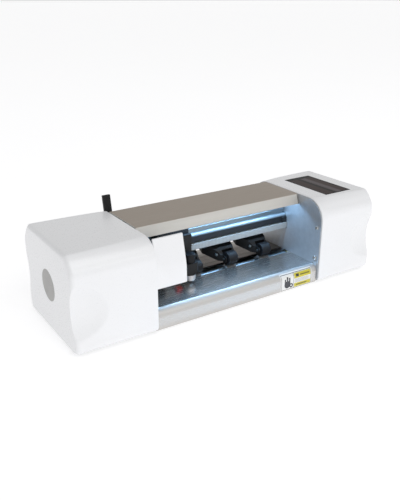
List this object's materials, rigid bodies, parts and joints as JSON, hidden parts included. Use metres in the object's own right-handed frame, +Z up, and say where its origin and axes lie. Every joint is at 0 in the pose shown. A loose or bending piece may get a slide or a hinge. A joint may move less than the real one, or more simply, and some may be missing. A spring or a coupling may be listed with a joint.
{
  "type": "vinyl cutter",
  "caption": "Desktop vinyl and film cutter: two white end housings, covered bay with belt-driven blade carriage, pinch rollers with lift lever, touch panel.",
  "frame": {"origin": "on the table, under the middle of the machine", "axes": "+X along the machine towards the display's end, +Y to the rear, +Z up"},
  "size_m": [0.4, 0.131, 0.1183],
  "materials": {
    "white_shell": "satin",
    "badge_grey": "satin",
    "panel_glass": "gloss",
    "dark_plastic": "matte",
    "zinc_sheet": "brushed",
    "soft_rubber": "matte",
    "grey_paint": "satin",
    "screw_steel": "satin",
    "cover_paint": "satin",
    "deck_paint": "satin",
    "label_film": "gloss",
    "shield_plastic": "gloss",
    "lamp_white": "lit",
    "black_anodised": "satin",
    "ground_steel": "ground",
    "white_belt": "matte",
    "black_belt": "matte",
    "pulley_metal": "turned",
    "motor_black": "satin",
    "coil_steel": "satin",
    "holder_metal": "turned",
    "red_anodised": "satin",
    "grit_metal": "grit",
    "bush_brass": "turned",
    "spring_steel": "drawn",
    "board_green": "satin",
    "arm_black": "satin",
    "roller_rubber": "matte"
  },
  "bodies": {
    "chassis": {"left_housing": "white_shell", "right_housing": "white_shell", "left_end_badge": "badge_grey", "display_glass": "panel_glass", "display_module": "dark_plastic", "base_plate": "zinc_sheet", "rubber_feet": "soft_rubber", "left_side_plate": "grey_paint", "right_side_plate": "grey_paint", "plate_screws": "screw_steel", "top_cover": "cover_paint", "front_deck": "deck_paint", "rear_deck": "deck_paint", "front_label": "label_film", "rear_valance": "cover_paint", "carriage_shield": "shield_plastic", "led_strip": "lamp_white", "guide_beam": "black_anodised", "beam_brackets": "dark_plastic", "linear_rail": "ground_steel", "carriage_belt": "white_belt", "idler_bracket": "zinc_sheet", "carriage_motor": "motor_black", "feed_motor": "motor_black", "motor_brackets": "zinc_sheet", "drive_bearings": "bush_brass", "feed_belt": "black_belt", "arm_pivot_rod": "ground_steel", "arm_springs": "spring_steel", "control_board": "board_green", "power_inlet": "dark_plastic", "switch_frame": "dark_plastic"},
    "carriage": {"rail_block": "ground_steel", "carriage_body": "black_anodised", "belt_clamp": "dark_plastic", "lift_solenoid": "coil_steel"},
    "tool": {"tool_slide": "dark_plastic", "blade_holder": "holder_metal"},
    "knob": {"clamp_knob": "red_anodised"},
    "drive": {"drive_shaft": "ground_steel", "drive_wheels": "grit_metal", "drive_pulley": "pulley_metal"},
    "feed_rotor": {"feed_pulley": "pulley_metal"},
    "belt_rotor": {"motor_pulley": "pulley_metal"},
    "belt_idler": {"idler_pulley": "pulley_metal"},
    "lever": {"cam_shaft": "ground_steel", "lift_lever": "dark_plastic"},
    "rocker": {"power_rocker": "dark_plastic"},
    "arm_1": {"pinch_arm_1": "arm_black", "pinch_axle_1": "ground_steel"},
    "roller_1": {"pinch_roller_1": "roller_rubber"},
    "arm_2": {"pinch_arm_2": "arm_black", "pinch_axle_2": "ground_steel"},
    "roller_2": {"pinch_roller_2": "roller_rubber"},
    "arm_3": {"pinch_arm_3": "arm_black", "pinch_axle_3": "ground_steel"},
    "roller_3": {"pinch_roller_3": "roller_rubber"},
    "arm_4": {"pinch_arm_4": "arm_black", "pinch_axle_4": "ground_steel"},
    "roller_4": {"pinch_roller_4": "roller_rubber"}
  },
  "joints": [
    {"name": "carriage_travel", "type": "slide", "parent": "chassis", "child": "carriage", "axis": [1, 0, 0], "range_m": [-0.03, 0.145]},
    {"name": "blade_lift", "type": "slide", "parent": "carriage", "child": "tool", "axis": [0, 0, 1], "range_m": [-0.0005, 0.003]},
    {"name": "clamp_turn", "type": "hinge", "parent": "tool", "child": "knob", "pos_m": [-0.057, -0.019, 0.031], "axis": [1, 0, 0], "range_deg": [0, 180]},
    {"name": "film_feed", "type": "hinge", "parent": "chassis", "child": "drive", "pos_m": [0, -0.0045, 0.0189], "axis": [1, 0, 0], "continuous": true},
    {"name": "feed_motor_turn", "type": "hinge", "parent": "chassis", "child": "feed_rotor", "pos_m": [0.1215, 0.0295, 0.034], "axis": [1, 0, 0], "continuous": true},
    {"name": "belt_motor_turn", "type": "hinge", "parent": "chassis", "child": "belt_rotor", "pos_m": [-0.1325, 0.0038, 0.0585], "axis": [0, 0, 1], "range_deg": [-280, 1320]},
    {"name": "belt_idler_turn", "type": "hinge", "parent": "chassis", "child": "belt_idler", "pos_m": [0.122, 0.0038, 0.0585], "axis": [0, 0, 1], "range_deg": [-280, 1320]},
    {"name": "lever_turn", "type": "hinge", "parent": "chassis", "child": "lever", "pos_m": [0, 0.0485, 0.062], "axis": [-1, 0, 0], "range_deg": [0, 70]},
    {"name": "power_switch", "type": "hinge", "parent": "chassis", "child": "rocker", "pos_m": [0.15, 0.0613, 0.028], "axis": [0, 0, 1], "range_deg": [0, 20]},
    {"name": "arm_1_swing", "type": "hinge", "parent": "chassis", "child": "arm_1", "pos_m": [-0.0766, 0.0265, 0.052], "axis": [-1, 0, 0], "range_deg": [0, 5.3]},
    {"name": "roller_1_turn", "type": "hinge", "parent": "arm_1", "child": "roller_1", "pos_m": [-0.0766, -0.0055, 0.0345], "axis": [1, 0, 0], "continuous": true},
    {"name": "arm_2_swing", "type": "hinge", "parent": "chassis", "child": "arm_2", "pos_m": [-0.0263, 0.0265, 0.052], "axis": [-1, 0, 0], "range_deg": [0, 5.3]},
    {"name": "roller_2_turn", "type": "hinge", "parent": "arm_2", "child": "roller_2", "pos_m": [-0.0263, -0.0055, 0.0345], "axis": [1, 0, 0], "continuous": true},
    {"name": "arm_3_swing", "type": "hinge", "parent": "chassis", "child": "arm_3", "pos_m": [0.024, 0.0265, 0.052], "axis": [-1, 0, 0], "range_deg": [0, 5.3]},
    {"name": "roller_3_turn", "type": "hinge", "parent": "arm_3", "child": "roller_3", "pos_m": [0.024, -0.0055, 0.0345], "axis": [1, 0, 0], "continuous": true},
    {"name": "arm_4_swing", "type": "hinge", "parent": "chassis", "child": "arm_4", "pos_m": [0.0743, 0.0265, 0.052], "axis": [-1, 0, 0], "range_deg": [0, 5.3]},
    {"name": "roller_4_turn", "type": "hinge", "parent": "arm_4", "child": "roller_4", "pos_m": [0.0743, -0.0055, 0.0345], "axis": [1, 0, 0], "continuous": true}
  ],
  "couplings": [
    {"joint": "feed_motor_turn", "follows": "film_feed", "ratio": 2.1875},
    {"joint": "belt_motor_turn", "follows": "carriage_travel", "rad_per_m": 157.08},
    {"joint": "belt_idler_turn", "follows": "carriage_travel", "rad_per_m": 157.08},
    {"joint": "arm_1_swing", "follows": "lever_turn", "ratio": 0.07429},
    {"joint": "roller_1_turn", "follows": "film_feed", "ratio": -0.84337},
    {"joint": "arm_2_swing", "follows": "lever_turn", "ratio": 0.07429},
    {"joint": "roller_2_turn", "follows": "film_feed", "ratio": -0.84337},
    {"joint": "arm_3_swing", "follows": "lever_turn", "ratio": 0.07429},
    {"joint": "roller_3_turn", "follows": "film_feed", "ratio": -0.84337},
    {"joint": "arm_4_swing", "follows": "lever_turn", "ratio": 0.07429},
    {"joint": "roller_4_turn", "follows": "film_feed", "ratio": -0.84337}
  ]
}
